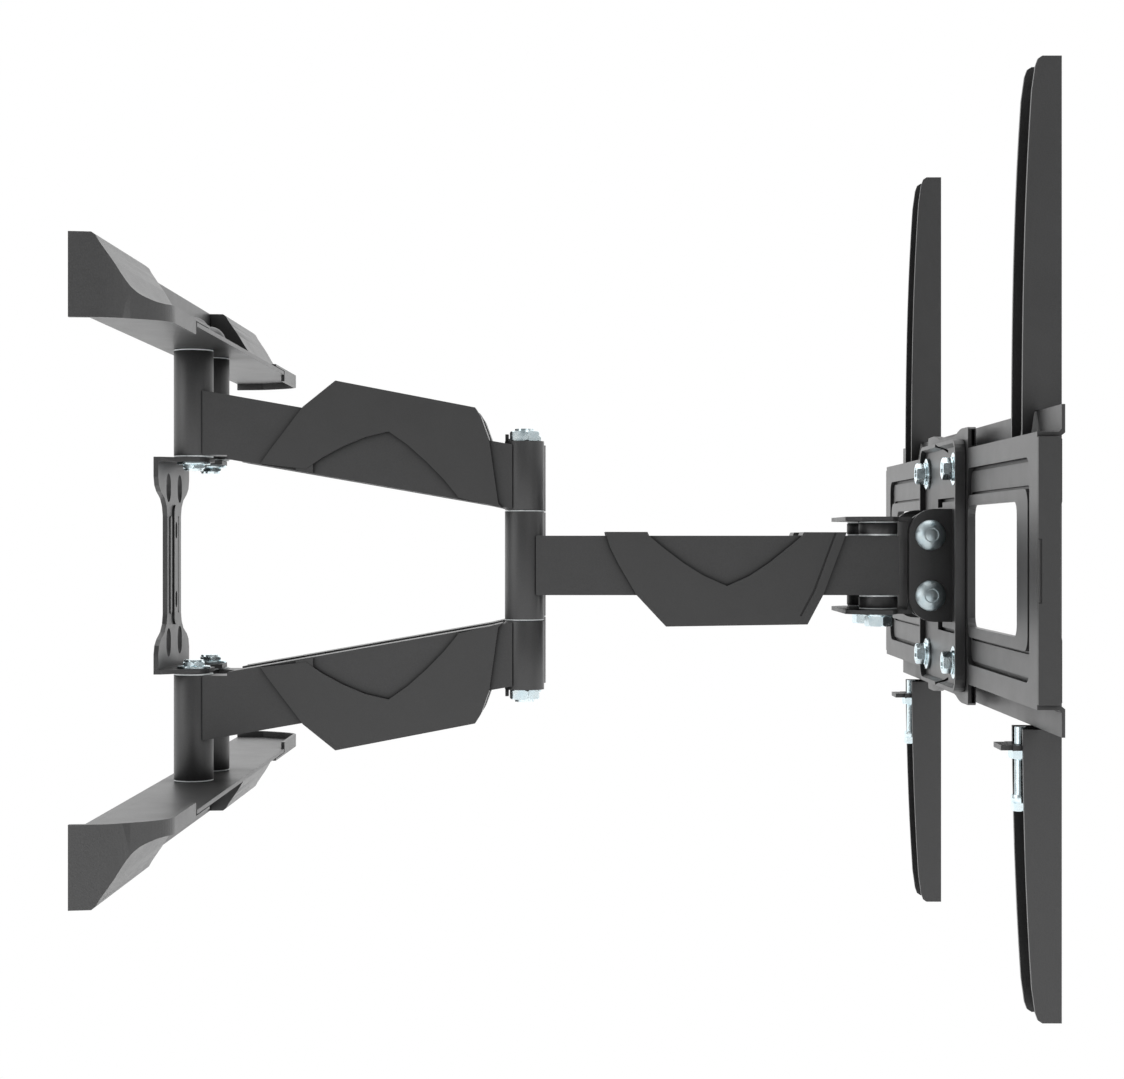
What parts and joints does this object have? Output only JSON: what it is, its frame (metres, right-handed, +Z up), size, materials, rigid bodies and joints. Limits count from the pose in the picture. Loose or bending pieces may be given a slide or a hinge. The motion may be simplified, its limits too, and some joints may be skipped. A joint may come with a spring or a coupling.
{
  "type": "full motion tv wall mount",
  "caption": "Extending wall mount for a flat TV: wall plates, folding arms on vertical pivots, and a tilting head plate with hook-on TV brackets.",
  "frame": {"origin": "centre of the wall bolt pattern, on the wall plane", "axes": "+Z up, +Y into the wall, X along the wall; the mount extends to -Y"},
  "size_m": [0.4552, 0.4395, 0.44],
  "materials": {
    "black_powder_coat": "fine textured powder coat",
    "cover_plastic": "fine grained matte",
    "cable_cover_plastic": "smooth matte",
    "pale_nylon": "satin",
    "grey_cap": "satin",
    "zinc": "bright zinc plate"
  },
  "bodies": {
    "wall_frame": {"upper_wall_plate": "black_powder_coat", "lower_wall_plate": "black_powder_coat", "upper_left_end_cover": "cover_plastic", "upper_right_end_cover": "cover_plastic", "lower_left_end_cover": "cover_plastic", "lower_right_end_cover": "cover_plastic", "pivot_strap": "black_powder_coat", "wall_pivot_bolts": "zinc", "wall_pivot_nuts": "zinc", "wall_pivot_caps": "grey_cap"},
    "left_arms": {"upper_left_arm": "black_powder_coat", "lower_left_arm": "black_powder_coat", "upper_left_arm_cover": "cable_cover_plastic", "lower_left_arm_cover": "cable_cover_plastic", "left_wall_bushes": "pale_nylon", "left_elbow_bolt": "zinc", "left_elbow_nuts": "zinc"},
    "right_arms": {"upper_right_arm": "black_powder_coat", "lower_right_arm": "black_powder_coat", "upper_right_arm_cover": "cable_cover_plastic", "lower_right_arm_cover": "cable_cover_plastic", "right_wall_bushes": "pale_nylon", "right_elbow_bolt": "zinc", "right_elbow_nuts": "zinc"},
    "left_forearm_body": {"left_forearm": "black_powder_coat", "left_forearm_bushes": "pale_nylon", "left_forearm_cover": "cable_cover_plastic", "left_head_sleeves": "black_powder_coat"},
    "right_forearm_body": {"right_forearm": "black_powder_coat", "right_forearm_bushes": "pale_nylon", "right_forearm_cover": "cable_cover_plastic", "right_head_sleeves": "black_powder_coat", "right_head_pivot_bolt": "zinc", "right_head_pivot_washer": "zinc"},
    "head": {"swivel_bracket": "black_powder_coat", "left_head_pivot_bolt": "zinc"},
    "tilt_head": {"levelling_plate": "black_powder_coat", "tilt_bolts": "zinc", "tilt_nuts": "zinc"},
    "tv_plate": {"head_plate": "black_powder_coat", "welded_nuts": "zinc", "levelling_washers": "zinc", "levelling_bolts": "zinc", "left_head_end_cap": "cable_cover_plastic", "right_head_end_cap": "cable_cover_plastic"},
    "left_bracket": {"left_tv_bracket": "black_powder_coat", "left_safety_nut": "zinc"},
    "right_bracket": {"right_tv_bracket": "black_powder_coat", "right_safety_nut": "zinc"},
    "left_screw": {"left_safety_screw": "zinc"},
    "right_screw": {"right_safety_screw": "zinc"}
  },
  "joints": [
    {"name": "left_wall_pivot", "type": "hinge", "parent": "wall_frame", "child": "left_arms", "pos_m": [-0.025, -0.0175, 0], "axis": [0, 0, -1], "range_deg": [0, 75]},
    {"name": "right_wall_pivot", "type": "hinge", "parent": "wall_frame", "child": "right_arms", "pos_m": [0.025, -0.0175, 0], "axis": [0, 0, 1], "range_deg": [0, 75.5]},
    {"name": "left_elbow", "type": "hinge", "parent": "left_arms", "child": "left_forearm_body", "pos_m": [-0.025, -0.1912, 0], "axis": [0, 0, 1], "range_deg": [0, 142.5]},
    {"name": "right_elbow", "type": "hinge", "parent": "right_arms", "child": "right_forearm_body", "pos_m": [0.025, -0.1912, 0], "axis": [0, 0, -1], "range_deg": [0, 142.5]},
    {"name": "head_swivel", "type": "hinge", "parent": "left_forearm_body", "child": "head", "pos_m": [-0.025, -0.3769, 0], "axis": [0, 0, -1], "range_deg": [0, 67.5]},
    {"name": "tilt", "type": "hinge", "parent": "head", "child": "tilt_head", "pos_m": [0, -0.4033, -0.0158], "axis": [1, 0, 0], "range_deg": [-2, 10]},
    {"name": "levelling", "type": "hinge", "parent": "tilt_head", "child": "tv_plate", "pos_m": [0, -0.4174, 0], "axis": [0, 1, 0], "range_deg": [-3, 3]},
    {"name": "left_bracket_slide", "type": "slide", "parent": "tv_plate", "child": "left_bracket", "axis": [-1, 0, 0], "range_m": [-0.06, 0.0384]},
    {"name": "right_bracket_slide", "type": "slide", "parent": "tv_plate", "child": "right_bracket", "axis": [1, 0, 0], "range_m": [-0.06, 0.0384]},
    {"name": "left_safety_screw_travel", "type": "slide", "parent": "left_bracket", "child": "left_screw", "axis": [0, 0, 1], "range_m": [-0.008, 0]},
    {"name": "right_safety_screw_travel", "type": "slide", "parent": "right_bracket", "child": "right_screw", "axis": [0, 0, 1], "range_m": [-0.008, 0]}
  ],
  "couplings": [
    {"joint": "right_wall_pivot", "follows": "left_wall_pivot", "ratio": 1},
    {"joint": "left_elbow", "follows": "left_wall_pivot", "ratio": 1.89},
    {"joint": "right_elbow", "follows": "left_wall_pivot", "ratio": 1.89},
    {"joint": "head_swivel", "follows": "left_wall_pivot", "ratio": 0.89}
  ]
}
